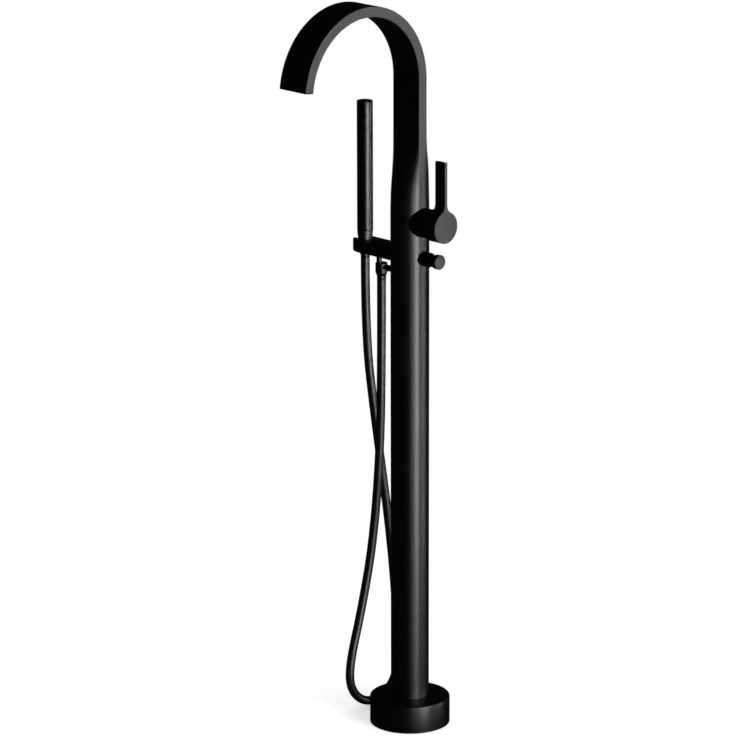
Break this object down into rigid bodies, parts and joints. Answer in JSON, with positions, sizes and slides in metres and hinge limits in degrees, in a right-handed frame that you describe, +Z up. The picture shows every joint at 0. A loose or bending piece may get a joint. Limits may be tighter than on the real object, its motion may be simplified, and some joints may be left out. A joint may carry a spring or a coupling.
{
  "type": "floor standing bath filler",
  "caption": "Floor standing bath filler: round column that flattens into an arched spout, lever mixer, pull diverter and a stick hand shower on a hanging hose.",
  "frame": {"origin": "centre of the floor flange's underside, on the floor", "axes": "+Z up the column, -Y the way the spout reaches over the bath, +X towards the mixer lever and diverter, -X towards the hand shower"},
  "size_m": [0.1938, 0.3133, 1.1669],
  "materials": {
    "black_coated_steel": "satin black powder coat on steel or brass",
    "black_plastic": "satin black moulded plastic",
    "hose_cover": "smooth satin black hose cover",
    "bare_steel": "turned or drawn stainless steel",
    "brass": "cast and machined brass",
    "white_plastic": "moulded plastic",
    "black_rubber": "moulded rubber"
  },
  "bodies": {
    "column": {"floor_flange": "bare_steel", "column_screws": "bare_steel", "column_tube": "black_coated_steel", "column_neck": "black_coated_steel", "spout_arch": "black_coated_steel", "spout_waterway": "white_plastic", "spout_outlet": "black_plastic", "hot_inlet": "brass", "cold_inlet": "brass", "hot_riser": "bare_steel", "cold_riser": "bare_steel", "riser_nuts": "brass", "riser_clip": "white_plastic", "valve_body": "brass", "valve_ring": "white_plastic", "mixer_sleeve": "black_coated_steel", "cartridge": "white_plastic", "cartridge_seals": "black_rubber", "retaining_nut": "brass", "diverter_rosette": "black_coated_steel", "diverter_cartridge": "brass", "diverter_spring": "bare_steel", "holder_arm": "black_coated_steel", "holder_liner": "black_plastic", "arm_screw": "bare_steel", "holder_post": "black_coated_steel", "outlet_stub": "black_coated_steel", "outlet_elbow": "black_coated_steel", "outlet_nut": "black_coated_steel", "outlet_ferrule": "black_coated_steel", "shower_hose": "hose_cover"},
    "cover": {"base_cover": "black_coated_steel", "cover_seal": "black_rubber"},
    "turret": {"cartridge_turret": "white_plastic", "stem_pin": "bare_steel"},
    "lever": {"cartridge_stem": "brass", "lever_handle": "black_coated_steel", "lever_grub_screw": "bare_steel"},
    "diverter": {"diverter_spindle": "bare_steel", "diverter_knob": "black_coated_steel"},
    "hose_nut": {"hose_cone_nut": "black_coated_steel", "handset_ferrule": "black_coated_steel", "hose_washer": "black_rubber"},
    "hand_shower": {"handset_spigot": "brass", "check_valve": "white_plastic", "handset_tube": "black_coated_steel", "handset_chamber": "white_plastic", "spray_plate": "black_plastic", "spray_nozzles": "black_rubber", "handset_cap": "black_coated_steel"}
  },
  "joints": [
    {"name": "temperature_turn", "type": "hinge", "parent": "column", "child": "turret", "pos_m": [0.04, 0, 0.8164], "axis": [1, 0, 0], "range_deg": [-45, 45]},
    {"name": "flow_tilt", "type": "hinge", "parent": "turret", "child": "lever", "pos_m": [0.04, 0, 0.8164], "axis": [0, 1, 0], "range_deg": [0, 20]},
    {"name": "diverter_pull", "type": "slide", "parent": "column", "child": "diverter", "axis": [1, 0, 0], "range_m": [0, 0.008], "stiffness_N_per_m": 400, "springref_m": -0.004, "deforming": ["diverter_spring"]},
    {"name": "handset_lift", "type": "slide", "parent": "column", "child": "hose_nut", "axis": [0, 0, 1], "range_m": [0, 0.06]},
    {"name": "handset_swivel", "type": "hinge", "parent": "hose_nut", "child": "hand_shower", "pos_m": [-0.0985, 0, 0.784], "axis": [0, 0, 1], "continuous": true},
    {"name": "cover_lift", "type": "slide", "parent": "column", "child": "cover", "axis": [0, 0, 1], "range_m": [0, 0.12]}
  ]
}
